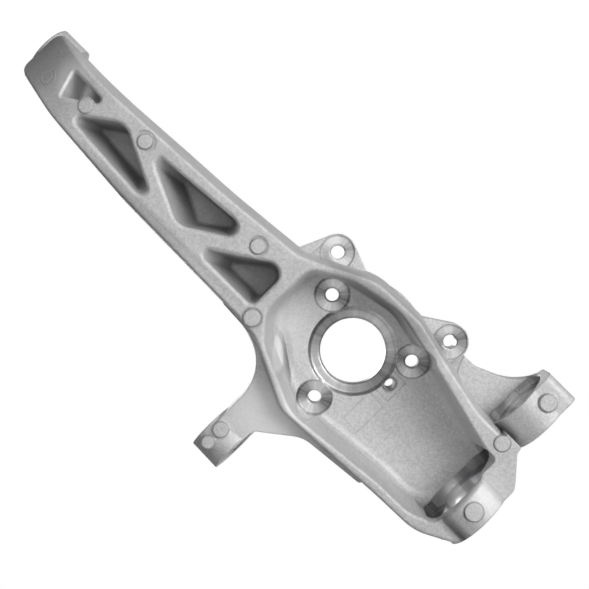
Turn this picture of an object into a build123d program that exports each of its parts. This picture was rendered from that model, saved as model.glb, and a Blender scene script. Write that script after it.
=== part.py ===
from build123d import *
import os
from math import asin, cos, degrees, radians, sin

# Steering knuckle, one aluminium casting with machined seats.
# Frame: +Z up in the vehicle, +Y outboard to the wheel, +X towards the brake caliper.
# The origin is the hub bore's centre on the outboard bearing seat.
# A depth is a distance inboard of that seat, so depth 80 lies at Y = -80.

os.makedirs("parts", exist_ok=True)

# Depths of the main levels
rim_depth = 80.0          # inboard face of the rim and of the arm
parting_depth = 30.0      # where the two die halves meet
plate_back_depth = 8.0    # outboard face of the plate round the bearing seat
floor_depth = 18.0        # floor of the dish
inboard_draft = 7.0       # degrees, outer walls inboard of the parting line
outboard_draft = 3.0      # degrees, outer walls outboard of it
wall_edge_radius = 3.0    # rounding of the outer edges of the inboard face

# Goose-neck arm, seen from the side
bend_height = 312.0       # where the arm starts to bend outboard
tip_height = 430.0        # upper face of the tip boss
tip_front_depth = 14.0    # where the bent face meets the tip boss
tip_boss_drop = 30.0      # height of the tip boss
arm_back_depth = 34.0     # outboard face of the arm at the bend
arm_root_depth = 22.0     # outboard face of the arm near the hub
arm_root_height = 130.0
arm_foot_height = 92.0    # where the arm's outboard face meets the plate's

# Tip boss for the upper ball joint
tip_x = -3.0
tip_y = 12.0
tip_radius = 25.8
tip_bore_radius = 9.0

# Hub bearing seat
hub_bore_radius = 32.5
hub_ledge_radius = 41.0
hub_ledge_depth = 14.5
hub_ring_radius = 44.5
hub_pad_radius = 74.0
hub_bolt_circle = 118.0
hub_bolt_count = 3
hub_bolt_start = 65.2     # degrees from +X towards +Z
hub_bolt_radius = 6.5
hub_spot_radius = 16.6
hub_spot_recess = 3.0
socket_wrench_radius = 18.0
hub_lug_radius = 19.0

# Dish behind the hub
dish_draft = 5.0          # degrees
dish_floor_radius = 9.0
dish_edge = 1.8
dish_foot = -160.0        # lower edge of the dish's opening
gutter_depth = 3.4        # how far the gutter goes into the fillet
gutter_x = -52.4          # lens-shaped gutter at the foot of the upper left wall
gutter_z = 51.0
gutter_length = 43.0
gutter_width = 15.0
gutter_lean = 54.0        # degrees from +X towards +Z
gutter_roll = 40.0        # degrees that it faces away from the wall
pocket_floor_edge = 1.8
pocket_edge = 2.0

# Ports and pads
sensor_x = 2.7
sensor_z = -49.2
sensor_bore_radius = 5.2
sensor_mouth_width = 17.6
sensor_mouth_height = 12.6
sensor_mouth_depth = 3.0
sensor_tilt = 9.0         # degrees
pad_height = 0.9
groove_depth = 0.8

# Lower ball joint socket, under the dish
socket_b_x = -20.0
socket_b_y = -35.0
socket_b_top = -163.0
socket_b_foot = -192.0
socket_b_outer = 49.5
socket_b_bulge = 38.0     # radius of the bulge on its inboard side
socket_b_reach = 91.0     # depth of the bulge's front
socket_b_spot = 45.0
socket_b_spot_z = -172.0
socket_b_slot_top = -157.5
socket_b_bore = 30.0
socket_b_crown = -120.0   # where its back runs out on the plate

# Outer ball joint socket, beside the dish
socket_a_x = 80.3
socket_a_y = -40.0
socket_a_top = -141.0
socket_a_foot = -174.0
socket_a_outer = 33.5
socket_a_front = 73.5     # depth of its inboard face
socket_a_spot = 30.5
socket_a_spot_z = -147.0
socket_a_slot_top = -136.0
socket_a_bore = 20.0
socket_a_lug_reach = 38.0

# Steering arm and its eye
eye_x = -146.0
eye_y = -36.0
eye_radius = 26.5
eye_foot = 14.9
eye_top = 46.7
eye_tilt = 8.0            # degrees, the lower end leans inboard
eye_bore_radius = 9.5
steer_front_depth = 60.0
steer_back_depth = 14.0

# Caliper ears
ear_1 = (58.1, 79.5)
ear_2 = (73.8, -57.9)
ear_radius = 17.8
ear_front_depth = 38.0
ear_back_depth = 12.0
ear_bore_radius = 6.5
ear_spot_radius = 16.4
ear_spot_recess = 2.0
web_front_depth = 32.0
web_back_depth = 16.0


def level(depth):
    """Sketch plane that faces inboard at a depth; its axes are +X and +Z."""
    return Plane(origin=(0, -depth, 0), x_dir=(1, 0, 0), z_dir=(0, -1, 0))


def rounded_face(corners, depth):
    """Face at a depth through corners given as (x, z, corner radius)."""
    points = [(x, z) for x, z, _ in corners]
    radii = [r for _, _, r in corners]
    return level(depth) * make_face(FilletPolyline(*points, radius=radii, close=True))


def disc(x, z, radius, depth):
    """Round face at a depth."""
    return level(depth) * Pos(x, z) * Circle(radius)


def peg(x, z, radius, inner_depth, outer_depth):
    """Cylinder along Y between two depths, inner_depth being the inboard one."""
    return extrude(disc(x, z, radius, outer_depth), inner_depth - outer_depth)


def upright(x, y, radius, foot, top):
    """Cylinder along Z between two heights."""
    return extrude(Pos(x, y, foot) * Circle(radius), top - foot)


def along(share):
    """Height of a point on the arm, as a share of the way from its root to its tip."""
    return arm_root_height + share * (tip_height - arm_root_height)


# Outline of dish and arm at the parting line, clockwise from the arm's tip
OUTLINE = [
    (19.5, along(0.98), 14.0),
    (18.6, along(0.733), 300.0),
    (27.6, along(0.2), 500.0),
    (36.0, arm_root_height - 26.0, 40.0),
    (70.5, 36.0, 60.0),
    (72.5, -22.0, 40.0),
    (60.5, -72.0, 200.0),
    (50.5, -118.0, 90.0),
    (50.5, -171.5, 8.0),
    (18.9, -199.5, 25.0),
    (-57.1, -199.5, 20.0),
    (-80.9, -155.5, 60.0),
    (-82.3, -110.0, 500.0),
    (-86.0, -42.0, 400.0),
    (-89.5, 14.0, 40.0),
    (-56.0, 84.0, 60.0),
    (-53.4, along(0.44), 300.0),
    (-46.0, along(0.773), 150.0),
    (-33.0, along(0.993), 9.0),
]


def blank():
    """Dish and arm before they are hollowed: a drafted outline cut to the side profile."""
    face = rounded_face(OUTLINE, parting_depth)
    inboard = extrude(face, rim_depth - parting_depth + 10.0, taper=inboard_draft)
    outboard = extrude(face, -(parting_depth + 20.0), taper=outboard_draft)
    return (inboard + outboard) & side_profile()


def side_profile():
    """The arm's and dish's profile seen along X, as a solid right across."""
    low = -240.0
    tip_foot = tip_height - tip_boss_drop
    heel_y = tip_y - tip_bore_radius - 4.0
    with BuildSketch(Plane.YZ) as profile:
        with BuildLine():
            Line((-rim_depth, low), (-rim_depth, bend_height))
            TangentArc((-rim_depth, bend_height), (-tip_front_depth, tip_height), tangent=(0, 1))
            Line((-tip_front_depth, tip_height), (tip_y, tip_height))
            Line((tip_y, tip_height), (heel_y, tip_foot))
            TangentArc((heel_y, tip_foot), (-arm_back_depth, bend_height), tangent=(0, 1),
                       tangent_from_first=False)
            Line((-arm_back_depth, bend_height), (-arm_root_depth, arm_root_height))
            Line((-arm_root_depth, arm_root_height), (-plate_back_depth, arm_foot_height))
            Line((-plate_back_depth, arm_foot_height), (-plate_back_depth, low))
            Line((-plate_back_depth, low), (-rim_depth, low))
        make_face()
    return extrude(profile.sketch, 130.0, both=True)


# Opening of the dish at rim level, clockwise from its top left
DISH = [
    (-27.5, 87.6, 30.0),
    (28.8, 86.4, 16.0),
    (48.5, 51.0, 60.0),
    (59.0, 0.0, 50.0),
    (46.0, -62.0, 80.0),
    (18.4, -174.0, 16.0),
    (-66.5, -174.0, 46.0),
    (-67.4, -98.0, 80.0),
    (-78.4, 4.5, 50.0),
    (-51.0, 67.0, 32.0),
]

# Truss pockets of the arm: opening at rim level, floor, floor depth, from the hub upwards
POCKETS = [
    ([(-34.3, along(0.169), 5.5), (19.1, along(-0.101), 12.0), (-34.3, along(-0.101), 6.5)],
     [(-25.3, along(0.07), 4.0), (12.0, along(-0.093), 8.0), (-25.3, along(-0.093), 5.0)], 36.0),
    ([(3.3, along(0.482), 5.4), (15.1, along(-0.001), 9.4), (-30.3, along(0.244), 20.0)],
     [(4.0, along(0.36), 3.0), (10.5, along(0.093), 5.0), (-17.5, along(0.213), 8.0)], 36.0),
    ([(-29.7, along(0.734), 5.0), (3.7, along(0.577), 18.0), (-37.3, along(0.302), 6.0)],
     [(-20.5, along(0.66), 3.0), (-1.0, along(0.567), 12.0), (-26.5, along(0.383), 4.0)], 38.0),
    ([(4.5, along(0.837), 3.0), (3.5, along(0.653), 3.6), (-26.0, along(0.8), 2.5)],
     [(3.5, along(0.787), 2.0), (3.0, along(0.677), 2.5), (-16.0, along(0.76), 2.0)], 38.0),
]

# Ejector pads on the rim: x, z, radius, and the groove's radius or 0 for none
PADS = [
    (4.2, along(0.492), 7.0, 10.2),
    (9.5, along(0.018), 7.1, 9.6),
    (-41.7, 92.6, 7.9, 10.0),
    (40.2, -152.7, 7.4, 0.0),
]


def half_space(y_low, y_high, z_low=-300.0, z_high=500.0):
    """Block right across X between two values of Y and of Z."""
    block = Box(500, y_high - y_low, z_high - z_low)
    return Pos(0, (y_low + y_high) / 2, (z_low + z_high) / 2) * block


def pocket(opening, floor, depth):
    """Solid that one truss pocket takes out, from beyond the arm's face to its floor."""
    reach = 6.0
    top = rounded_face(opening, rim_depth)
    foot = rounded_face(floor, depth)
    core = loft([top.face(), foot.face()], ruled=True)
    floor_edges = core.faces().sort_by(Axis.Y)[-1].edges()
    core = chamfer(floor_edges, pocket_floor_edge)
    return core + extrude(top, reach)


def dish():
    """Solid that the dish takes out, open at its foot towards the lower socket."""
    mouth = rounded_face(DISH, rim_depth)
    core = extrude(mouth, -(rim_depth - floor_depth), taper=dish_draft)
    floor_edges = core.faces().sort_by(Axis.Y)[-1].edges()
    core = fillet(floor_edges, dish_floor_radius) + extrude(mouth, 20.0)
    return core & half_space(-rim_depth - 30.0, 30.0, z_low=dish_foot)


def opening_edges(before, after):
    """Edges that a cut has left on the inboard face."""
    return [e for e in new_edges(before, combined=after)
            if e.center().Y < -60.0 and e.bounding_box().size.Y < 12.0]


def shell():
    """The hollowed casting before seats, sockets and ears are added."""
    body = blank()
    body = fillet(rim_edges(body), wall_edge_radius)
    hollow = body - dish()
    mouth = [e for e in opening_edges(body, hollow) if e.center().Z > dish_foot + 0.1]
    body = chamfer(mouth, dish_edge)
    for opening, floor, depth in POCKETS:
        hollow = body - pocket(opening, floor, depth)
        body = chamfer(opening_edges(body, hollow), pocket_edge)
    return body


def rim_edges(body):
    """Outer edges of the inboard face: the flat one's and the bend's, but not their seam."""
    flat = body.faces().filter_by(Axis.Y).sort_by(Axis.Y)[0]
    bends = body.faces().filter_by(GeomType.CYLINDER)
    bend = min(bends, key=lambda face: abs(face.radius - bend_radius()))
    seam_free = [e for e in flat.edges() if e.center().Z < bend_height - 0.1]
    tip_free = [e for e in bend.edges() if bend_height + 0.1 < e.center().Z < tip_height - 4.0]
    return seam_free + tip_free


def bend_radius():
    """Radius of the inboard face's bend, from the height and the depth that it spans."""
    rise = tip_height - bend_height
    run = rim_depth - tip_front_depth
    return (rise**2 + run**2) / (2 * run)


def slab(corners, front_depth, back_depth, draft):
    """Plate with drafted sides that is widest half way through."""
    middle = (front_depth + back_depth) / 2
    face = rounded_face(corners, middle)
    front = extrude(face, front_depth - middle, taper=draft)
    return front + extrude(face, back_depth - middle, taper=draft)


def steering_arm():
    """Plate that runs left from the dish to the eye."""
    corners = [
        (eye_x, 14.5, 1.0), (eye_x, 48.3, 1.0), (-58.0, 48.3, 48.0), (-54.0, 125.0, 5.0),
        (-34.0, 125.0, 5.0), (-34.0, -92.0, 5.0), (-83.3, -92.0, 5.0), (-90.5, -22.0, 30.0),
        (-119.0, 14.5, 6.0),
    ]
    return slab(corners, steer_front_depth, steer_back_depth, outboard_draft)


def eye():
    """Upright boss for the tie rod, leaning inboard at its foot."""
    height = eye_top - eye_foot
    boss = Rot(-eye_tilt, 0, 0) * Cylinder(eye_radius, height)
    return Pos(eye_x, eye_y, (eye_top + eye_foot) / 2) * boss


def hub_bolts():
    """Places of the hub's bolts as (x, z)."""
    turns = [radians(hub_bolt_start + 360.0 / hub_bolt_count * i) for i in range(hub_bolt_count)]
    return [(hub_bolt_circle / 2 * cos(t), hub_bolt_circle / 2 * sin(t)) for t in turns]


def hub_pad():
    """Raised outboard face for the hub bearing."""
    pad = peg(0, 0, hub_pad_radius, plate_back_depth + 4.0, 0.0)
    for x, z in hub_bolts():
        pad += peg(x, z, hub_lug_radius, plate_back_depth + 4.0, 0.0)
    return pad


def hub_seat():
    """Solid that the bearing seat takes out, turned about the hub's axis."""
    chamfer = 1.2
    profile = Polyline(
        (0, 1.0), (hub_bore_radius, 1.0), (hub_bore_radius, chamfer - hub_ledge_depth),
        (hub_bore_radius + chamfer, -hub_ledge_depth), (hub_ledge_radius, -hub_ledge_depth),
        (hub_ring_radius, -floor_depth), (hub_ring_radius, -floor_depth - 2.0),
        (0, -floor_depth - 2.0), close=True)
    return revolve(Plane.XY * make_face(profile), Axis.Y)


def lower_socket():
    """Outer form of the lower ball joint socket; its back runs out on the plate."""
    bulge = upright(socket_b_x - 2.8, socket_b_bulge - socket_b_reach, socket_b_bulge,
                    socket_b_foot, socket_b_top)
    bulge = chamfer(bulge.edges().group_by(Axis.Z)[-1], 2.5) & half_space(-100.0, -60.0)
    neck = socket_b_slot_top + 6.0
    drum = upright(socket_b_x, socket_b_y, socket_b_outer, socket_b_foot, neck)
    rise = socket_b_crown - neck
    hood = Cone(socket_b_outer, socket_b_outer - 26.0, rise)
    hood = Pos(socket_b_x, socket_b_y, neck + rise / 2) * hood
    return bulge + ((drum + hood) & half_space(-26.0, 30.0))


def mouth_relief():
    """Solid that opens the dish's foot to the lower socket's lip."""
    ceiling = dish_foot + 15.0
    corners = [
        (-59.9, ceiling, 2.0), (-59.9, socket_b_top, 9.0), (2.0, socket_b_top, 2.0),
        (8.0, dish_foot, 4.0), (26.4, dish_foot, 5.0), (26.4, ceiling, 2.0),
    ]
    return extrude(rounded_face(corners, floor_depth + 6.0), rim_depth)


def side_socket():
    """Outer form of the socket beside the dish, with the lug on its right."""
    drum = upright(socket_a_x, socket_a_y, socket_a_outer, socket_a_foot, socket_a_top)
    right = socket_a_x + socket_a_lug_reach
    front = socket_a_front - 4.0
    lug = [
        (socket_a_x, -front, 1.0), (right, -front, 9.0), (right, socket_a_y + 18.0, 9.0),
        (socket_a_x, socket_a_y + 18.0, 1.0),
    ]
    face = make_face(FilletPolyline(*[(x, y) for x, y, _ in lug],
                                    radius=[r for _, _, r in lug], close=True))
    lug = extrude(Pos(0, 0, socket_a_foot) * face, socket_a_top - socket_a_foot)
    bridge = [
        (38.0, -150.0, 1.0), (50.0, -150.0, 1.0), (50.0, socket_a_foot + 6.0, 2.0),
        (38.0, socket_a_foot + 4.0, 1.0),
    ]
    bridge = extrude(rounded_face(bridge, parting_depth), rim_depth - parting_depth)
    return drum + lug + bridge


# Outline of the plate from the lower ear to the side socket
WEB = [
    (45.0, -62.0, 1.0), (74.0, -66.0, 4.0), (74.2, -93.0, 14.0), (92.0, -133.0, 50.0),
    (114.0, -142.0, 4.0), (114.0, -152.0, 2.0), (45.0, -152.0, 1.0),
]


def web():
    """Plate from the lower ear to the side socket, thicker behind the socket's slot."""
    plate = slab(WEB, web_front_depth, web_back_depth, outboard_draft)
    rise = 24.0
    cover = Cone(socket_a_outer, socket_a_outer - 10.0, rise)
    cover = Pos(socket_a_x, socket_a_y, socket_a_top + rise / 2) * cover
    behind = extrude(rounded_face(WEB, -10.0), 10.0 + web_front_depth - 4.0)
    return plate + (cover & behind)


def ear(x, z, anchors):
    """Flat caliper ear: a round end drawn out to anchor points on the body."""
    edges = [*Circle(ear_radius).moved(Pos(x, z)).edges()]
    edges += Polyline(*anchors, close=True).edges()
    plate = level(ear_back_depth) * make_hull(edges)
    return extrude(plate, ear_front_depth - ear_back_depth)


def ears():
    """Both caliper ears."""
    upper = ear(*ear_1, [(33.0, 110.2), (62.0, 40.0), (40.0, 60.0)])
    lower = ear(*ear_2, [(71.5, -22.0), (55.0, -60.0), (57.0, -72.0)])
    return upper + lower


def bolt_hole(x, z, radius, spot_radius, face_depth, spot_depth, back_depth):
    """Solid that a bolt hole and its spot face take out."""
    chamfer = 1.0
    hole = peg(x, z, radius, face_depth + 4.0, back_depth - 4.0)
    spot = peg(x, z, spot_radius, face_depth + 4.0, spot_depth)
    flare = Cone(radius + chamfer, radius, chamfer)
    inner = level(spot_depth) * Pos(x, z, -chamfer / 2) * Rot(180, 0, 0) * flare
    outer = level(back_depth) * Pos(x, z, chamfer / 2) * flare
    return hole + spot + inner + outer


def seats(body):
    """Machines hub, bolt holes, sockets, eye and tip."""
    body -= hub_seat()
    for x, z in hub_bolts():
        body -= bolt_hole(x, z, hub_bolt_radius, hub_spot_radius,
                          floor_depth, floor_depth - hub_spot_recess, 0.0)
        body -= peg(x, z, socket_wrench_radius, rim_depth + 20.0, floor_depth)
    for x, z in (ear_1, ear_2):
        body -= bolt_hole(x, z, ear_bore_radius, ear_spot_radius,
                          ear_front_depth, ear_front_depth - ear_spot_recess, ear_back_depth)
    body -= upright(socket_b_x, socket_b_y, socket_b_spot, socket_b_spot_z, socket_b_slot_top)
    body -= half_space(-130.0, 40.0, socket_b_foot - 40.0, socket_b_foot)
    body -= upright(socket_b_x, socket_b_y, socket_b_bore, socket_b_foot - 5.0, socket_b_spot_z)
    body -= upright(socket_a_x, socket_a_y, socket_a_spot, socket_a_spot_z, socket_a_slot_top)
    body -= upright(socket_a_x, socket_a_y, socket_a_bore, socket_a_foot - 5.0, socket_a_spot_z)
    bore = Rot(-eye_tilt, 0, 0) * Cylinder(eye_bore_radius, 2 * (eye_top - eye_foot))
    body -= Pos(eye_x, eye_y, (eye_top + eye_foot) / 2) * bore
    body -= upright(tip_x, tip_y, tip_bore_radius, tip_height - tip_boss_drop - 5, tip_height + 5)
    return body


def gutter():
    """Solid that the gutter takes out: the lens that a round-rimmed wheel leaves in the fillet."""
    half = gutter_length / 2
    wheel = (half**2 + gutter_depth**2) / (2 * gutter_depth)
    rim = gutter_width / 2
    tool = Rot(gutter_roll, 0, 0) * Pos(0, 0, wheel - gutter_depth) * Rot(90, 0, 0) \
        * Torus(wheel - rim, rim)
    tool = level(floor_depth + 2.0) * Pos(gutter_x, gutter_z) * Rot(0, 0, gutter_lean) * tool
    return tool & half_space(-floor_depth - 9.0, 0.0)


def sensor_port():
    """Tilted hole through the plate below the hub, with a flared oval mouth."""
    place = level(floor_depth) * Pos(sensor_x, sensor_z)
    mouth = extrude(place * SlotOverall(sensor_mouth_width, sensor_mouth_height),
                    -sensor_mouth_depth, taper=40.0)
    return mouth + place * Rot(sensor_tilt, 0, 0) * Cylinder(sensor_bore_radius, 4 * floor_depth)


def pad_grooves(body):
    """Sinks the rings that surround some of the pads."""
    for x, z, _, groove in PADS:
        if groove:
            body -= peg(x, z, groove, rim_depth + 5.0, rim_depth - groove_depth)
    return body


def bend_boss(x, z, radius, height):
    """Round boss that stands square on the arm's bent face at a height."""
    radius_of_bend = bend_radius()
    lean = asin((z - bend_height) / radius_of_bend)
    depth = rim_depth - radius_of_bend * (1 - cos(lean))
    place = Pos(x, -depth, z) * Rot(90 - degrees(lean), 0, 0)
    reach = 34.0
    return place * Pos(0, 0, height - reach / 2) * Cylinder(radius, reach)


def pads():
    """Ejector pads, and the stubs that carry some of them."""
    work = bend_boss(-11.6, along(0.703), 8.8, 0.0) + bend_boss(-11.6, along(0.703), 7.0, pad_height)
    for x, z, radius, _ in PADS:
        work += peg(x, z, radius, rim_depth + pad_height, rim_depth - 3.0)
    work += peg(96.9, -157.4, 8.6, 74.4, 45.0)
    work += peg(-22.3, -176.9, 8.7, socket_b_reach + 1.0, 82.0)
    work += peg(-139.0, 38.9, 7.9, 63.6, 45.0)
    work += peg(-156.2, 38.9, 6.6, 63.6, 45.0)
    return work


def knuckle():
    """The whole casting."""
    body = shell()
    hollow = dish()
    outside = steering_arm() + eye() + lower_socket() + side_socket() + web() + ears()
    outside += upright(tip_x, tip_y, tip_radius, tip_height - tip_boss_drop, tip_height)
    body += (outside + hub_pad()) - hollow
    body = pad_grooves(body - mouth_relief())
    body = seats(body + pads())
    body -= gutter()
    body -= sensor_port()
    return body


export_step(knuckle(), "parts/knuckle.step")
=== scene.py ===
import logging
from dataclasses import dataclass, field
from enum import Enum
from math import cos, pi, radians, sin

import bpy
from mathutils import Matrix, Vector

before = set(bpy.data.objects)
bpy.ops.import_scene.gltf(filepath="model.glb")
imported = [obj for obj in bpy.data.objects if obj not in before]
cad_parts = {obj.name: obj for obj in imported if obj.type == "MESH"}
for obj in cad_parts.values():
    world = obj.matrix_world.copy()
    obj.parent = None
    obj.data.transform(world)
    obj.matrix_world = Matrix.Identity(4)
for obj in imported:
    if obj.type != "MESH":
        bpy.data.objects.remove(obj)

log = logging.getLogger("knuckle")

MM = 0.001
AO_SAMPLES = 6

HOLE_BLUR = 0.25
END_BLUR = 0.2
LINE_BLUR = 0.4
FRONT_BLUR = 1.0
FAR_BLUR = 2.0
GLINT_BLUR = 0.02
ARC_BLUR = 0.05

Colour = tuple[float, float, float, float]
Point = tuple["Field", "Field", "Field"]


class Axis(Enum):
    """Axis that a turned zone is cut about."""

    ALONG_Y = "y"
    ALONG_Z = "z"


class Field:
    """A number that varies over a surface; arithmetic on it adds Math nodes."""

    def __init__(self, graph: "Graph", socket: bpy.types.NodeSocket) -> None:
        """Wraps one output socket.

        Args:
            graph: the node graph that owns the socket.
            socket: the output that carries the number.
        """
        self.graph = graph
        self.socket = socket

    def _math(self, operation: str, *values: "Field | float") -> "Field":
        """Result of a Math node on the given values."""
        return self.graph.math(operation, *values)

    def __add__(self, other: "Field | float") -> "Field":
        """Sum."""
        return self._math("ADD", self, other)

    __radd__ = __add__

    def __sub__(self, other: "Field | float") -> "Field":
        """Difference."""
        return self._math("SUBTRACT", self, other)

    def __rsub__(self, other: "Field | float") -> "Field":
        """Difference with the number first."""
        return self._math("SUBTRACT", other, self)

    def __mul__(self, other: "Field | float") -> "Field":
        """Product."""
        return self._math("MULTIPLY", self, other)

    def __truediv__(self, other: "Field | float") -> "Field":
        """Quotient."""
        return self._math("DIVIDE", self, other)

    def __pow__(self, other: float) -> "Field":
        """Power."""
        return self._math("POWER", self, other)

    def __abs__(self) -> "Field":
        """Size without its sign."""
        return self._math("ABSOLUTE", self)

    def sqrt(self) -> "Field":
        """Square root."""
        return self._math("SQRT", self)

    def sine(self) -> "Field":
        """Sine of an angle in radians."""
        return self._math("SINE", self)

    def at_least(self, other: "Field | float") -> "Field":
        """The larger of the two."""
        return self._math("MAXIMUM", self, other)

    def at_most(self, other: "Field | float") -> "Field":
        """The smaller of the two."""
        return self._math("MINIMUM", self, other)

    def clamp(self) -> "Field":
        """The number held between 0 and 1."""
        return self.at_least(0.0).at_most(1.0)

    def above(self, edge: float, blur: float) -> "Field":
        """1 where the number is above an edge, 0 below it.

        Args:
            edge: the value at which the result is a half.
            blur: how wide the change is.

        Returns:
            A field between 0 and 1.
        """
        return ((self - edge) * (1.0 / blur) + 0.5).clamp()

    def below(self, edge: float, blur: float) -> "Field":
        """1 where the number is below an edge, 0 above it.

        Args:
            edge: the value at which the result is a half.
            blur: how wide the change is.

        Returns:
            A field between 0 and 1.
        """
        return ((edge - self) * (1.0 / blur) + 0.5).clamp()


class Graph:
    """Node graph of a material or of the world, with short ways to add nodes."""

    def __init__(self, tree: bpy.types.NodeTree) -> None:
        """Empties the tree.

        Args:
            tree: the node tree to fill.
        """
        self.tree = tree
        tree.nodes.clear()

    def node(self, kind: str, settings: dict[str, object] | None = None,
             inputs: dict[str | int, object] | None = None) -> bpy.types.Node:
        """Adds a node.

        Args:
            kind: the node's type name.
            settings: attributes of the node, set first.
            inputs: a value, a Field or a socket for each named input.

        Returns:
            The new node.
        """
        made = self.tree.nodes.new(kind)
        for name, value in (settings or {}).items():
            setattr(made, name, value)
        for name, value in (inputs or {}).items():
            self.feed(made.inputs[name], value)
        return made

    def feed(self, target: bpy.types.NodeSocket, value: object) -> None:
        """Sets a socket's value, or links a field or a socket to it.

        Args:
            target: the input.
            value: a plain value, a field or an output socket.
        """
        if isinstance(value, Field):
            value = value.socket
        if isinstance(value, bpy.types.NodeSocket):
            self.tree.links.new(value, target)
        else:
            target.default_value = value

    def math(self, operation: str, *values: "Field | float") -> Field:
        """Adds a Math node.

        Args:
            operation: the Math node's operation.
            *values: its inputs in order.

        Returns:
            The result as a field.
        """
        made = self.node("ShaderNodeMath", {"operation": operation}, dict(enumerate(values)))
        return Field(self, made.outputs[0])

    def place(self) -> Point:
        """The surface point's X, Y and Z in millimetres, in the row's frame."""
        coordinates = self.node("ShaderNodeTexCoord")
        split = self.node("ShaderNodeSeparateXYZ", inputs={0: coordinates.outputs["Object"]})
        return tuple(Field(self, out) * (1.0 / MM) for out in split.outputs)

    def noise(self, scale: float, detail: float, roughness: float,
              at: bpy.types.NodeSocket | None = None) -> Field:
        """Noise about 0 with blobs of about 1 / scale metres.

        Args:
            scale: blobs per metre.
            detail: finer layers added.
            roughness: strength of the finer layers.
            at: the vector to read it at, or None for the surface point.

        Returns:
            A field from about -0.5 to 0.5.
        """
        if at is None:
            at = self.node("ShaderNodeTexCoord").outputs["Object"]
        made = self.node("ShaderNodeTexNoise", {"noise_dimensions": "3D"}, {
            "Vector": at, "Scale": scale, "Detail": detail, "Roughness": roughness})
        return Field(self, made.outputs[0]) - 0.5

    def vector(self, x: Field, y: Field) -> bpy.types.NodeSocket:
        """Vector of the two numbers and 0."""
        return self.node("ShaderNodeCombineXYZ", inputs={0: x, 1: y, 2: 0.0}).outputs[0]

    def openness(self, reach: float) -> Field:
        """How open the surroundings of a surface point are.

        Args:
            reach: how far away a wall still counts, in metres.

        Returns:
            1 in the open, towards 0 in a deep corner.
        """
        made = self.node("ShaderNodeAmbientOcclusion", {"samples": AO_SAMPLES}, {"Distance": reach})
        return Field(self, made.outputs["AO"])

    def mix_colour(self, share: Field, first: "Colour | bpy.types.NodeSocket",
                   second: "Colour | bpy.types.NodeSocket") -> bpy.types.NodeSocket:
        """Colour that goes from first to second.

        Args:
            share: 0 for the first colour, 1 for the second.
            first: a colour or a colour socket.
            second: a colour or a colour socket.

        Returns:
            The mixed colour's socket.
        """
        made = self.node("ShaderNodeMix", {"data_type": "RGBA"})
        self.feed(made.inputs[0], share)
        self.feed(made.inputs[6], first)
        self.feed(made.inputs[7], second)
        return made.outputs[2]


@dataclass(frozen=True)
class Speckle:
    """A layer of noise: blobs per metre, finer layers added, and how strong they are."""

    scale: float
    detail: float
    roughness: float

    def read(self, graph: Graph, at: bpy.types.NodeSocket | None = None) -> Field:
        """The layer's noise about 0, at a vector or at the surface point."""
        return graph.noise(self.scale, self.detail, self.roughness, at)


@dataclass(frozen=True)
class Glint:
    """A painted highlight: a sharp bright sector in a turned wall's colour, as it shows under a
    lamp.

    Its middle is turn degrees from X about the zone's axis, and half_angle reaches from there
    to its edge.
    """

    turn: float
    half_angle: float
    strength: float


@dataclass(frozen=True)
class TurnedZone:
    """A machined zone inside a cylinder, between two places on its axis, in millimetres.

    Its axis stands at across: X and Z, or X and Y where it runs along Z. Its colour is painted
    sheen: shade is its painted brightness, and its two painted bright and two painted dark
    sectors are contrast away from it, the bright ones turn degrees from X.
    """

    axis: Axis
    across: tuple[float, float]
    radius: float
    low: float
    high: float
    shade: float = 0.62
    turn: float = 0.0
    contrast: float = 0.30
    metallic: float = 0.9
    glints: tuple[Glint, ...] = ()
    least_away: float = 0.1

    def read(self, graph: Graph, point: Point) -> "ZoneReading":
        """Adds the nodes that tell where the zone is and how its tool marks run.

        Args:
            graph: not used; the nodes go into the graph of the point's fields.
            point: X, Y and Z of the surface point in millimetres.

        Returns:
            The zone's mask, the distance from its axis and the two shares of the direction
            from its axis.
        """
        x, y, z = point
        first, second, along = (x, z, y) if self.axis is Axis.ALONG_Y else (x, y, z)
        over, up = first - self.across[0], second - self.across[1]
        away = (over ** 2 + up ** 2).sqrt().at_least(self.least_away)
        inside = away.below(self.radius, HOLE_BLUR) * along.above(self.low, END_BLUR)
        mask = inside * along.below(self.high, END_BLUR)
        return ZoneReading(mask, away, over / away, up / away)


@dataclass(frozen=True)
class ZoneReading:
    """What a machined zone's nodes give at a surface point."""

    mask: Field
    away: Field
    over: Field
    up: Field

    def glint(self, glint: Glint) -> Field:
        """The painted highlight's strength inside its sector, 0 outside.

        Args:
            glint: the painted bright sector.

        Returns:
            A field with a nearly sharp edge.
        """
        turn = radians(glint.turn)
        toward = self.over * cos(turn) + self.up * sin(turn)
        return toward.above(cos(radians(glint.half_angle)), GLINT_BLUR) * glint.strength

    def sectors(self, zone: TurnedZone) -> Field:
        """The zone's painted highlight and painted shade sectors.

        Args:
            zone: the zone that was read.

        Returns:
            A field about 0, bright above it.
        """
        double = radians(2.0 * zone.turn)
        bright = (self.over ** 2 - self.up ** 2) * cos(double) \
            + self.over * self.up * (2.0 * sin(double))
        return bright * zone.contrast


BOLT_RADIUS = 59.0
BOLT_TURNS = (65.2, 185.2, 305.2)
HUB_BOLTS = tuple((BOLT_RADIUS * cos(radians(turn)), BOLT_RADIUS * sin(radians(turn)))
                  for turn in BOLT_TURNS)
EARS = ((58.1, 79.5), (73.8, -57.9))
HUB_AXIS = (0.0, 0.0)


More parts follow.
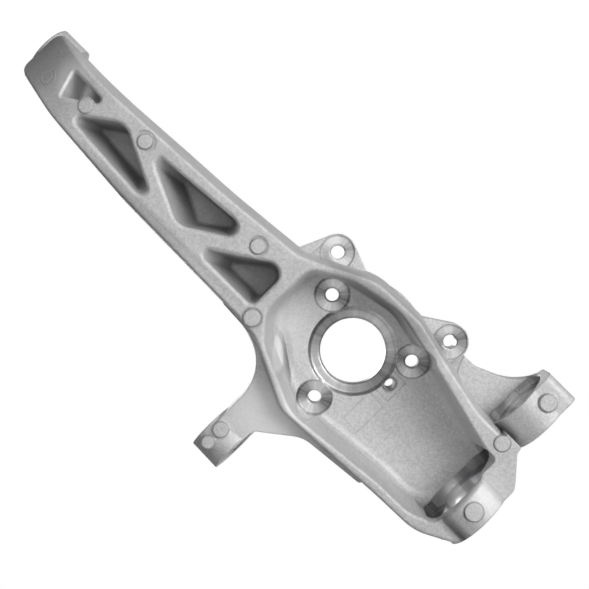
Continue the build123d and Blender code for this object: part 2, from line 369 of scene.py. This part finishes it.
def bearing_zones() -> list[TurnedZone]:
    """The ledge inside the dish, the seat outside it, and the faces under the three bolts."""
    zones = [TurnedZone(Axis.ALONG_Y, HUB_AXIS, 44.4, -18.1, 1.0, shade=0.52, contrast=0.28),
             TurnedZone(Axis.ALONG_Y, HUB_AXIS, 80.0, -0.3, 1.0)]
    zones += [TurnedZone(Axis.ALONG_Y, bolt, reach, -70.0, -14.6, shade=0.47, turn=25.0)
              for bolt, reach in zip(HUB_BOLTS, (18.2, 18.2, 17.3))]
    # The wrench relief beside the second bolt carries a painted highlight on its wall.
    relief = TurnedZone(Axis.ALONG_Y, HUB_BOLTS[1], 19.0, -70.0, -19.4, shade=0.95,
                        contrast=0.1, metallic=0.2)
    return zones + [relief]


def ear_zones() -> list[TurnedZone]:
    """The spot faces of the two caliper ears, the upper one with a lighter painted sheen than the
    lower.
    """
    return [TurnedZone(Axis.ALONG_Y, ear, 16.6, -38.4, -10.0, shade=shade, turn=60.0)
            for ear, shade in zip(EARS, (0.76, 0.57))]


def socket_zones() -> list[TurnedZone]:
    """The two slots over the lower ball joints, the tip boss's top and the eye's foot."""
    # Painted glints: sharp bright sectors painted into the slots' colour.
    lower_glints = (Glint(112.0, 21.0, 0.75), Glint(151.0, 5.0, 0.4), Glint(60.0, 5.0, 0.3),
                    Glint(-97.0, 16.0, 0.5), Glint(-70.0, 4.0, 0.5))
    side_glints = (Glint(80.0, 30.0, 0.5), Glint(150.0, 12.0, 0.35), Glint(-85.0, 14.0, 0.5))
    return [
        TurnedZone(Axis.ALONG_Z, (-20.0, -35.0), 45.2, -193.0, -157.3, shade=0.52, turn=100.0,
                   contrast=0.2, glints=lower_glints),
        TurnedZone(Axis.ALONG_Z, (80.3, -40.0), 30.7, -176.0, -135.8, shade=0.72, turn=80.0,
                   contrast=0.2, glints=side_glints),
        TurnedZone(Axis.ALONG_Z, (-3.0, 12.0), 26.0, 429.7, 431.0),
        TurnedZone(Axis.ALONG_Z, (-146.0, -36.0), 34.0, 5.0, 17.0),
    ]


def turned_zones() -> list[TurnedZone]:
    """All the machined seats of the casting."""
    return bearing_zones() + ear_zones() + socket_zones()


@dataclass(frozen=True)
class LineFrame:
    """A thin raised line round an upright rectangle on an inboard-facing surface.

    The surface lies at Y = -depth, give or take reach.
    """

    left: float
    right: float
    foot: float
    top: float
    depth: float
    corner: float = 2.0
    width: float = 0.9
    height: float = 1.0
    reach: float = 1.0

    def mask(self, point: Point) -> Field:
        """Where the line is.

        Args:
            point: X, Y and Z of the surface point in millimetres.

        Returns:
            1 on the line, 0 beside it.
        """
        x, y, z = point
        over = abs(x - (self.left + self.right) / 2) - ((self.right - self.left) / 2 - self.corner)
        up = abs(z - (self.foot + self.top) / 2) - ((self.top - self.foot) / 2 - self.corner)
        far = (over.at_least(0.0) ** 2 + up.at_least(0.0) ** 2).sqrt()
        edge = far + over.at_least(up).at_most(0.0)
        near = y.above(-self.depth - self.reach, END_BLUR) \
            * y.below(-self.depth + self.reach, END_BLUR)
        return abs(edge - self.corner).below(self.width / 2, LINE_BLUR) * near


@dataclass(frozen=True)
class LineRing:
    """A thin ring or arc on an inboard-facing surface, sunk where its height is negative, and there
    also painted dark as shade in its groove.

    It lies inboard of its front, a value of Y. An arc lies within its spread of the direction
    that it is toward, both in degrees, and outboard of the rim.
    """

    x: float
    z: float
    radius: float
    width: float = 0.9
    height: float = 1.0
    front: float = -50.0
    toward: float = 0.0
    spread: float = 180.0
    rim: float = -60.0

    def mask(self, point: Point) -> Field:
        """Where the ring is.

        Args:
            point: X, Y and Z of the surface point in millimetres.

        Returns:
            1 on the ring, 0 beside it.
        """
        x, y, z = point
        over, up = x - self.x, z - self.z
        away = (over ** 2 + up ** 2).sqrt()
        line = abs(away - self.radius).below(self.width / 2, LINE_BLUR)
        line = line * y.below(self.front, FRONT_BLUR)
        if self.spread < 180.0:
            turn = radians(self.toward)
            reach = (over * cos(turn) + up * sin(turn)) / self.radius
            line = line * reach.above(cos(radians(self.spread)), ARC_BLUR) \
                * y.above(self.rim, FAR_BLUR)
        return line


# The plain fields on the dish floor and the rings on the bent tip stand out, the rest is sunk and
# painted dark as shade in its grooves.
MARKS = (
    LineFrame(left=-53.0, right=-17.0, foot=-59.8, top=-40.3, depth=18.0),
    LineFrame(left=-10.6, right=14.4, foot=-59.0, top=-39.5, depth=18.0, corner=1.0),
    LineRing(-18.3, 391.7, 7.8, front=-34.0),
    LineRing(-18.3, 391.7, 3.2, front=-34.0),
    LineRing(2.8, -47.6, 6.8, width=1.8, height=-0.45, front=-14.0),
    LineRing(77.3, -108.3, 30.4, 1.6, -0.40, front=-16.0, toward=130.0, spread=45.0),
    LineRing(52.0, 148.3, 53.2, 1.4, -0.35, front=-16.0, toward=-88.0, spread=15.0),
    LineRing(*EARS[0], 17.2, 1.2, -0.30, front=-16.0, toward=180.0, spread=70.0),
    LineRing(*EARS[1], 17.2, 1.2, -0.30, front=-16.0, toward=180.0, spread=70.0),
    LineRing(4.2, 277.6, 7.6, width=1.4, height=-0.32),
    LineRing(9.5, 135.4, 7.7, width=1.4, height=-0.32),
    LineRing(-41.7, 92.6, 8.5, width=1.3, height=-0.32),
    LineRing(-11.6, 340.9, 7.5, width=1.2, height=-0.30),
    LineRing(40.2, -152.7, 7.9, width=1.3, height=-0.42),
    LineRing(96.9, -157.4, 8.1, width=1.2, height=-0.35),
    LineRing(-22.3, -176.9, 9.2, width=1.3, height=-0.45),
    LineRing(-139.0, 38.9, 7.5, width=1.1, height=-0.30),
    LineRing(-156.2, 38.9, 6.2, width=1.1, height=-0.30),
)


@dataclass(frozen=True)
class PaintedShadingPatch:
    """A soft-edged oval of painted light on the skin, or of painted shade where strength is
    negative.

    It leans by lean degrees from X, lies inboard of its front, a value of Y, and fades over
    edge, a share of its half sizes.
    """

    x: float
    z: float
    half_length: float
    half_width: float
    lean: float
    strength: float
    front: float
    edge: float = 1.0

    def share(self, point: Point) -> Field:
        """How strong the patch is.

        Args:
            point: X, Y and Z of the surface point in millimetres.

        Returns:
            0 outside the oval and behind its front, and the strength's size at the middle.
        """
        x, y, z = point
        turn = radians(self.lean)
        over, up = x - self.x, z - self.z
        length = (over * cos(turn) + up * sin(turn)) / self.half_length
        width = (up * cos(turn) - over * sin(turn)) / self.half_width
        inner = (1.0 - (length ** 2 + width ** 2).sqrt()) * (1.0 / self.edge)
        return inner.clamp() * y.below(self.front, FAR_BLUR) * abs(self.strength)


# Painted light: the gutter, steering arm, lower swelling, upper dish and uppermost pocket are
# painted lighter.
PAINTED_LIGHT_PATCHES = (
    PaintedShadingPatch(-51.4, 52.0, 19.5, 4.8, lean=52.5, strength=0.95, front=-14.0, edge=0.3),
    PaintedShadingPatch(-100.0, 12.0, 48.0, 60.0, lean=0.0, strength=1.0, front=-30.0, edge=0.7),
    PaintedShadingPatch(-4.0, -175.0, 26.0, 30.0, lean=0.0, strength=0.55, front=-60.0, edge=0.8),
    PaintedShadingPatch(-20.0, 62.0, 60.0, 34.0, lean=0.0, strength=0.55, front=-12.0),
    PaintedShadingPatch(-4.0, 372.0, 26.0, 18.0, lean=60.0, strength=0.75, front=-6.0, edge=0.5),
)

# Painted shade: beside the gutter, both sides of the swelling, the dish's right wall, the pockets'
# left walls, the arm's left edge and the bent tip are painted darker.
PAINTED_SHADE_PATCHES = (
    PaintedShadingPatch(-43.0, 47.0, 24.0, 6.0, lean=51.5, strength=-0.30, front=-12.0),
    PaintedShadingPatch(-47.0, -190.0, 60.0, 9.0, lean=90.0, strength=-1.0, front=-45.0),
    PaintedShadingPatch(3.0, -195.0, 60.0, 4.0, lean=90.0, strength=-0.35, front=-60.0),
    PaintedShadingPatch(53.0, 10.0, 90.0, 15.0, lean=97.0, strength=-0.95, front=-24.0),
    PaintedShadingPatch(-40.0, 220.0, 130.0, 6.0, lean=90.0, strength=-0.45, front=-24.0),
    PaintedShadingPatch(-52.0, 290.0, 150.0, 16.0, lean=94.0, strength=-0.85, front=-50.0),
    PaintedShadingPatch(0.0, 430.0, 70.0, 62.0, lean=0.0, strength=-0.65, front=-16.0),
)


def strongest(shares: list[Field]) -> Field:
    """The largest of the shares at each place."""
    total = shares[0]
    for share in shares[1:]:
        total = total.at_least(share)
    return total


@dataclass(frozen=True)
class SeatReading:
    """Where the machined seats are, how high their tool marks stand, the painted sheen in their
    colour and how metallic they are.
    """

    mask: Field
    marks: Field
    shade: Field
    metallic: Field


@dataclass(frozen=True)
class CastFinishAndPaintedLight:
    """Blasted aluminium casting with turned seats, with light and shade painted into its colour:
    painted shade in corners, sunk lines and patches, painted light patches, and painted sheen and
    glints on the seats.

    Lengths, depths and heights are in millimetres. Grooves lie wall_density times as close
    along Y as they do across the faces.
    """

    cast_colour: Colour = (0.82, 0.82, 0.825, 1.0)
    stain_colour: Colour = (0.60, 0.60, 0.605, 1.0)
    # Painted shade colour: closed corners, the shade patches and the sunk lines are darkened
    # towards it.
    painted_shade_colour: Colour = (0.18, 0.18, 0.182, 1.0)
    # Painted light colour, for the painted light patches.
    painted_light_colour: Colour = (0.96, 0.96, 0.965, 1.0)
    # Painted highlight and painted shade ends of the machined seats' colour.
    seat_painted_highlight: Colour = (0.95, 0.95, 0.955, 1.0)
    seat_painted_shade: Colour = (0.10, 0.10, 0.105, 1.0)
    cloud_stain: float = 1.2
    speck_stain: float = 1.6
    dimple_stain: float = 0.7
    stain_level: float = 0.45
    cast_roughness: float = 0.62
    speck_roughness: float = 0.12
    cast_metallic: float = 0.45
    seat_roughness: float = 0.34
    groove_roughness: float = 0.05
    cloud: Speckle = Speckle(20.0, 3.0, 0.6)
    speck: Speckle = Speckle(520.0, 2.0, 0.6)
    grain: Speckle = Speckle(900.0, 3.0, 0.65)
    dimple: Speckle = Speckle(260.0, 2.0, 0.5)
    spokes: Speckle = Speckle(5.0, 3.0, 0.7)
    grain_height: float = 0.18
    dimple_height: float = 0.26
    raised_height: float = 0.45
    sunk_depth: float = 0.5
    groove_height: float = 0.006
    groove_pitch: float = 0.9
    wall_density: float = 1.1
    # Painted sheen of the rings and of the streaks round each seat's axis.
    groove_sheen: float = 0.05
    spoke_sheen: float = 0.75
    edge_radius: float = 2.6
    edge_samples: int = 6
    # Painted shade in corners: how far walls count, where it starts, how fast it grows, and its
    # most.
    painted_shade_reach: float = 55.0
    painted_shade_start: float = 0.55
    painted_shade_slope: float = 2.1
    painted_shade_most: float = 0.82

    def build(self, name: str) -> bpy.types.Material:
        """Makes the material.

        Args:
            name: the material's name.

        Returns:
            The material, ready to put in a slot.
        """
        material = bpy.data.materials.new(name)
        material.use_nodes = True
        graph = Graph(material.node_tree)
        point = graph.place()
        seats = self._seats(graph, point)
        cast = 1.0 - seats.mask
        speck, dimple = self.speck.read(graph), self.dimple.read(graph)
        raised = strongest([mark.mask(point) * mark.height for mark in MARKS if mark.height > 0])
        sunk = strongest([mark.mask(point) * -mark.height for mark in MARKS if mark.height < 0])

        skin = self._skin(graph, point, speck, dimple, sunk)
        # Machined seats: painted sheen between the painted shade and painted highlight colours.
        painted_seat_sheen = graph.mix_colour(seats.shade.clamp(), self.seat_painted_shade, self.seat_painted_highlight)
        colour = graph.mix_colour(seats.mask, skin, painted_seat_sheen)
        roughness = cast * (self.cast_roughness + speck * self.speck_roughness) \
            + seats.mask * (self.seat_roughness + seats.marks * self.groove_roughness)

        height = cast * (self.grain.read(graph) * self.grain_height + dimple * self.dimple_height
                         + raised * self.raised_height - sunk * self.sunk_depth) \
            + seats.mask * seats.marks * self.groove_height
        rounded = graph.node("ShaderNodeBevel", {"samples": self.edge_samples},
                             {"Radius": self.edge_radius * MM})
        bump = graph.node("ShaderNodeBump", inputs={
            "Strength": 1.0, "Distance": MM, "Height": height, "Normal": rounded.outputs[0]})
        shader = graph.node("ShaderNodeBsdfPrincipled", inputs={
            "Base Color": colour, "Roughness": roughness,
            "Metallic": cast * self.cast_metallic + seats.metallic, "Normal": bump.outputs[0]})
        graph.node("ShaderNodeOutputMaterial", inputs={"Surface": shader.outputs[0]})
        return material

    def _skin(self, graph: Graph, point: Point, speck: Field, dimple: Field,
              sunk: Field) -> bpy.types.NodeSocket:
        """Colour of the unmachined casting: random stains, with painted shade in corners and sunk
        lines, and painted light and shade patches.

        Args:
            graph: the graph to add nodes to.
            point: X, Y and Z of the surface point in millimetres.
            speck: the fine noise that also roughens the skin.
            dimple: the coarser noise that also dents it.
            sunk: how deep the sunk lines are, which also sets their painted shade.

        Returns:
            The colour's socket.
        """
        stain = self.cloud.read(graph) * self.cloud_stain + speck * self.speck_stain \
            + dimple * self.dimple_stain + self.stain_level
        painted_light = strongest([patch.share(point) for patch in PAINTED_LIGHT_PATCHES])
        painted_shade = strongest([patch.share(point) for patch in PAINTED_SHADE_PATCHES])
        # Painted shade: the skin darkens where its surroundings are closed, in corners and hollows,
        # less under the painted light patches.
        open_air = graph.openness(self.painted_shade_reach * MM)
        closed = ((self.painted_shade_start - open_air) * self.painted_shade_slope).clamp()
        painted_corner_shade = closed.at_most(self.painted_shade_most) * (1.0 - painted_light)

        skin = graph.mix_colour(stain.clamp(), self.cast_colour, self.stain_colour)
        skin = graph.mix_colour(painted_corner_shade, skin, self.painted_shade_colour)
        # Painted light patches, then painted shade patches.
        skin = graph.mix_colour(painted_light, skin, self.painted_light_colour)
        skin = graph.mix_colour(painted_shade, skin, self.painted_shade_colour)
        # Painted shade in the sunk lines.
        return graph.mix_colour(sunk, skin, self.painted_shade_colour)

    def _seats(self, graph: Graph, point: Point) -> SeatReading:
        """All the machined seats together.

        Args:
            graph: the graph to add nodes to.
            point: X, Y and Z of the surface point in millimetres.

        Returns:
            Their mask, tool marks, painted sheen and metallic.
        """
        turn = 2.0 * pi / self.groove_pitch
        along = (point[1] * turn * self.wall_density).sine()
        masks: list[Field] = []
        shades: list[Field] = []
        metallics: list[Field] = []
        marks: Field | None = None
        for zone in turned_zones():
            reading = zone.read(graph, point)
            rings = (reading.away * turn).sine()
            # Painted sheen: painted streaks round the axis, the zone's painted brightness and
            # sectors, painted rings and painted glints.
            around = self.spokes.read(graph, graph.vector(reading.over, reading.up))
            painted_sheen = zone.shade + reading.sectors(zone) + around * self.spoke_sheen \
                + rings * self.groove_sheen
            for glint in zone.glints:
                painted_sheen = painted_sheen + reading.glint(glint)
            grooves = reading.mask * (rings + along)
            marks = grooves if marks is None else marks + grooves
            masks.append(reading.mask)
            shades.append(reading.mask * painted_sheen)
            metallics.append(reading.mask * zone.metallic)
        return SeatReading(strongest(masks), marks, strongest(shades), strongest(metallics))


@dataclass
class KnuckleCasting:
    """The CAD casting, which keeps its mesh and gets its cast material with painted light and
    shade.
    """

    node: str = "knuckle"
    finish_and_painted_light: CastFinishAndPaintedLight = field(default_factory=CastFinishAndPaintedLight)

    def dress(self) -> bpy.types.Object:
        """Puts the cast material, with its painted light and shade, on the CAD node.

        Returns:
            The CAD node's object.
        """
        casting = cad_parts[self.node]
        casting.data.materials.clear()
        casting.data.materials.append(self.finish_and_painted_light.build("cast_aluminium_painted_light"))
        return casting


@dataclass(frozen=True)
class SoftBox:
    """A rectangular lamp that looks at the part: metres and watts."""

    name: str
    place: tuple[float, float, float]
    size: tuple[float, float]
    power: float

    def build(self, aim: Vector) -> None:
        """Adds the lamp.

        Args:
            aim: the point that it looks at.
        """
        data = bpy.data.lights.new(self.name, "AREA")
        data.shape = "RECTANGLE"
        data.size, data.size_y = self.size
        data.energy = self.power
        lamp = bpy.data.objects.new(self.name, data)
        bpy.context.scene.collection.objects.link(lamp)
        lamp.location = self.place
        lamp.rotation_euler = (aim - Vector(self.place)).to_track_quat("-Z", "Y").to_euler()
        lamp.visible_camera = False


@dataclass(frozen=True)
class Lobe:
    """A soft bright side of the surround.

    It starts where the cosine of the angle to its middle is start, and rises from there.
    """

    start: float
    slope: float
    power: float
    strength: float

    def read(self, facing: Field) -> Field:
        """The light that comes from a direction, by the cosine of its angle to the middle."""
        return ((facing - self.start) * self.slope).clamp() ** self.power * self.strength


@dataclass
class Studio:
    """Pale floor, soft light and the camera of the photograph.

    Lengths are in metres, the sensor is in millimetres and the roll in degrees.
    """

    camera_place: tuple[float, float, float] = (0.050, -1.050, 0.080)
    target: tuple[float, float, float] = (-0.002, 0.0, 0.080)
    roll: float = 45.0
    focal_pixels: float = 1051.0
    frame_pixels: float = 589.0
    sensor: float = 36.0
    far_end: float = 50.0
    floor_height: float = -0.62
    floor_radius: float = 6.0
    floor_sides: int = 96
    floor_roughness: float = 0.9
    light_from: tuple[float, float, float] = (0.62, -0.55, -0.56)
    front_lobe: Lobe = Lobe(-0.45, 0.69, 2.2, 1.75)
    back_lobe: Lobe = Lobe(0.1, 1.1, 1.5, 0.42)
    dim: float = 0.04
    lamp_aim: tuple[float, float, float] = (0.0, 0.0, 0.08)
    white: Colour = (1.0, 1.0, 1.0, 1.0)
    pale: Colour = (0.8, 0.8, 0.8, 1.0)
    lamps: tuple[SoftBox, ...] = (
        SoftBox("key", (0.95, -1.15, -0.85), (0.8, 1.2), 42.0),
        SoftBox("fill", (0.1, -1.6, 1.1), (1.2, 0.5), 2.0),
        SoftBox("front", (0.2, -1.9, 0.0), (1.5, 1.5), 1.2),
        SoftBox("back", (-0.5, 1.7, 0.7), (1.2, 1.2), 17.0),
    )

    def build(self) -> None:
        """Makes the floor, the world, the lamps and the camera."""
        self._floor()
        self._world()
        for lamp in self.lamps:
            lamp.build(Vector(self.lamp_aim))
        self._camera()
        bpy.context.scene.view_settings.view_transform = "Standard"

    def _floor(self) -> None:
        """A round pale floor below the part, plain white to the camera."""
        bpy.ops.object.select_all(action="DESELECT")
        bpy.ops.mesh.primitive_circle_add(
            vertices=self.floor_sides, radius=self.floor_radius, fill_type="NGON",
            location=(0, 0, self.floor_height))
        floor = bpy.context.object
        floor.name = "floor"
        bpy.ops.object.transform_apply(location=True, rotation=True, scale=True)
        material = bpy.data.materials.new("floor_paint")
        material.use_nodes = True
        graph = Graph(material.node_tree)
        paint = graph.node("ShaderNodeBsdfPrincipled", inputs={
            "Base Color": self.pale, "Roughness": self.floor_roughness})
        white = graph.node("ShaderNodeEmission", inputs={"Color": self.white, "Strength": 1.0})
        path = graph.node("ShaderNodeLightPath")
        both = graph.node("ShaderNodeMixShader", inputs={
            0: path.outputs["Is Camera Ray"], 1: paint.outputs[0], 2: white.outputs[0]})
        graph.node("ShaderNodeOutputMaterial", inputs={"Surface": both.outputs[0]})
        floor.data.materials.append(material)

    def _world(self) -> None:
        """A white surround, brightest at the lower right in front and right behind the part."""
        world = bpy.data.worlds.new("studio")
        bpy.context.scene.world = world
        world.use_nodes = True
        graph = Graph(world.node_tree)
        direction = graph.node("ShaderNodeTexCoord").outputs["Generated"]
        facing = graph.node("ShaderNodeVectorMath", {"operation": "DOT_PRODUCT"}, {
            0: direction, 1: tuple(Vector(self.light_from).normalized())})
        lit = Field(graph, facing.outputs["Value"])
        behind = Field(graph, graph.node("ShaderNodeSeparateXYZ", inputs={
            0: direction}).outputs[1])
        strength = self.front_lobe.read(lit) + self.dim + self.back_lobe.read(behind)
        soft = graph.node("ShaderNodeBackground", inputs={
            "Color": self.white, "Strength": strength})
        plain_white = graph.node("ShaderNodeBackground", inputs={
            "Color": self.white, "Strength": 1.0})
        path = graph.node("ShaderNodeLightPath")
        both = graph.node("ShaderNodeMixShader", inputs={
            0: path.outputs["Is Camera Ray"], 1: soft.outputs[0], 2: plain_white.outputs[0]})
        graph.node("ShaderNodeOutputWorld", inputs={"Surface": both.outputs[0]})

    def _camera(self) -> None:
        """The photograph's camera: level, slightly from the right, rolled by 45 degrees."""
        data = bpy.data.cameras.new("camera")
        data.sensor_width = self.sensor
        data.lens = self.focal_pixels / self.frame_pixels * self.sensor
        data.clip_end = self.far_end
        camera = bpy.data.objects.new("camera", data)
        bpy.context.scene.collection.objects.link(camera)
        place, target = Vector(self.camera_place), Vector(self.target)
        ahead = (target - place).normalized()
        right = ahead.cross(Vector((0, 0, 1))).normalized()
        up = right.cross(ahead)
        turn = radians(self.roll)
        across = right * cos(turn) - up * sin(turn)
        above = right * sin(turn) + up * cos(turn)
        camera.matrix_world = Matrix.Translation(place) @ Matrix(
            (across, above, -ahead)).transposed().to_4x4()
        bpy.context.scene.camera = camera


def main() -> None:
    """Builds the scene and reports each piece."""
    logging.basicConfig(level=logging.INFO, format="%(message)s")
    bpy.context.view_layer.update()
    casting = KnuckleCasting().dress()
    log.info("casting: %s, %d triangles", casting.name, len(casting.data.polygons))
    Studio().build()
    log.info("studio: floor, surround, lamps and camera")


if __name__ == "__main__":
    main()
